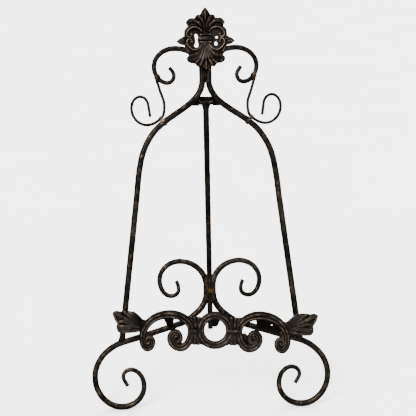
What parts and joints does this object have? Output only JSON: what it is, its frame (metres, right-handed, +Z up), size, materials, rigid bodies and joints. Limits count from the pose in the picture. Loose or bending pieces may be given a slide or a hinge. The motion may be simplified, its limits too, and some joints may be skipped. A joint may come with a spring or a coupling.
{
  "type": "display easel",
  "caption": "Scrolled round-bar tabletop display easel with a leafy cast crest, a cast ledge that keeps a book or plate on its lugs, and a hinged rear leg.",
  "frame": {"origin": "on the table, in the middle of the footprint of the open easel", "axes": "+Z up; the easel faces -Y, its rear leg stands out towards +Y, and +X is to the right as seen from the front"},
  "size_m": [0.3076, 0.2698, 0.496],
  "materials": {
    "bronzed_bar": "near-black oil-rubbed bronze over a slightly hammered round bar, rubbed coppery on raised edges",
    "bronzed_casting": "the same bronze over a casting, coppery on its ridges and black in its hollows",
    "dark_wire": "almost black satin wire",
    "blackened_hinge": "blackened steel, dull"
  },
  "bodies": {
    "frame": {"left_frame_rod": "bronzed_bar", "right_frame_rod": "bronzed_bar", "left_foot_scroll": "bronzed_bar", "right_foot_scroll": "bronzed_bar", "left_wire_scroll": "dark_wire", "right_wire_scroll": "dark_wire", "left_upper_collar": "bronzed_bar", "right_upper_collar": "bronzed_bar", "left_lower_collar": "bronzed_bar", "right_lower_collar": "bronzed_bar", "crest_casting": "bronzed_casting", "ledge_casting": "bronzed_casting", "left_ledge_lug": "blackened_hinge", "centre_ledge_lug": "blackened_hinge", "right_ledge_lug": "blackened_hinge", "hinge_plate": "blackened_hinge", "left_hinge_ear": "blackened_hinge", "right_hinge_ear": "blackened_hinge", "hinge_pin": "blackened_hinge"},
    "leg": {"leg_barrel": "blackened_hinge", "leg_rod": "bronzed_bar"}
  },
  "joints": [
    {"name": "leg_fold", "type": "hinge", "parent": "frame", "child": "leg", "pos_m": [0, 0.00531, 0.37476], "axis": [-1, 0, 0], "range_deg": [0, 35.5]}
  ]
}
